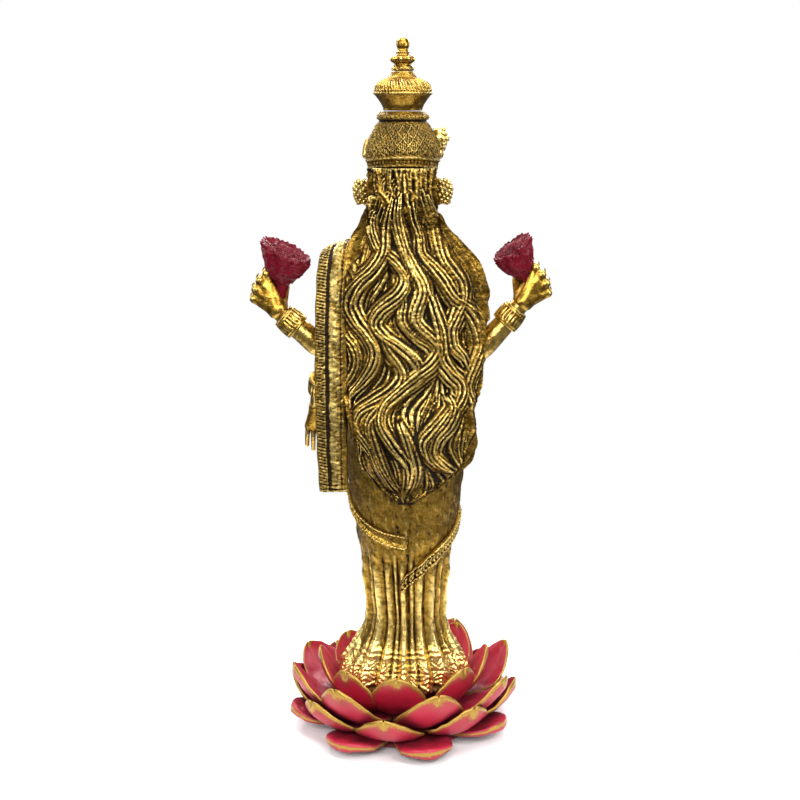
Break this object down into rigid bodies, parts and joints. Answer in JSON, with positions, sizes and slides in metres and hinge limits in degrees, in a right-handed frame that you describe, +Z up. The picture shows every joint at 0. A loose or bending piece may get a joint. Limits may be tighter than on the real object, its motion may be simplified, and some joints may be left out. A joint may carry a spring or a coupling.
{
  "type": "four-armed temple figure on a lotus",
  "caption": "Standing four-armed goddess figure with tall crown, long wavy hair and draped sari, raised on an open pink lotus; painted cast resin with antique gold finish.",
  "frame": {"origin": "centre of the flat underside of the lotus base", "axes": "+Z up along the figure's height, -Y the way the figure faces, +X its own left hand side"},
  "size_m": [0.1283, 0.1048, 0.305],
  "materials": {
    "antique_gold": "cast polyresin, gold paint with a dark brown wash in the recesses, satin",
    "hair_gold": "cast polyresin, gold paint rubbed on the ridges over a near-black wash, satin",
    "petal_pink": "cast polyresin, glossy crimson pink paint with gold brushed tips and edges",
    "seat_crimson": "cast polyresin, dark crimson paint",
    "bud_crimson": "cast polyresin, crimson paint, satin",
    "pin_steel": "plain steel pin"
  },
  "bodies": {
    "root": {"lotus_base": "petal_pink", "lotus_seat": "seat_crimson", "petal_low_1": "petal_pink", "petal_low_2": "petal_pink", "petal_low_3": "petal_pink", "petal_low_4": "petal_pink", "petal_low_5": "petal_pink", "petal_low_6": "petal_pink", "petal_low_7": "petal_pink", "petal_low_8": "petal_pink", "petal_high_1": "petal_pink", "petal_high_2": "petal_pink", "petal_high_3": "petal_pink", "petal_high_4": "petal_pink", "petal_high_5": "petal_pink", "petal_high_6": "petal_pink", "petal_high_7": "petal_pink", "petal_high_8": "petal_pink", "petal_top_1": "petal_pink", "petal_top_2": "petal_pink", "petal_top_3": "petal_pink", "petal_top_4": "petal_pink", "petal_top_5": "petal_pink", "petal_top_6": "petal_pink", "petal_top_7": "petal_pink", "petal_top_8": "petal_pink", "skirt": "antique_gold", "torso": "antique_gold", "head": "antique_gold", "left_foot": "antique_gold", "right_foot": "antique_gold", "left_front_arm": "antique_gold", "right_front_arm": "antique_gold", "left_rear_arm": "antique_gold", "right_rear_arm": "antique_gold", "left_front_bangle": "antique_gold", "right_front_bangle": "antique_gold", "left_rear_bangle": "antique_gold", "right_rear_bangle": "antique_gold", "left_armlet": "antique_gold", "right_armlet": "antique_gold", "waist_belt": "antique_gold", "hip_sash_left": "antique_gold", "hip_sash_right": "antique_gold", "necklace": "antique_gold", "pallu": "antique_gold", "crown_dome": "antique_gold", "crown_crest": "antique_gold", "crown_disc": "antique_gold", "crown_finial": "antique_gold", "ear_ornament_left": "antique_gold", "ear_ornament_right": "antique_gold", "hair": "hair_gold", "left_flower": "bud_crimson", "right_flower": "bud_crimson", "base_dowel_1": "pin_steel", "base_dowel_2": "pin_steel", "left_arm_pin": "pin_steel", "right_arm_pin": "pin_steel"}
  },
  "joints": []
}
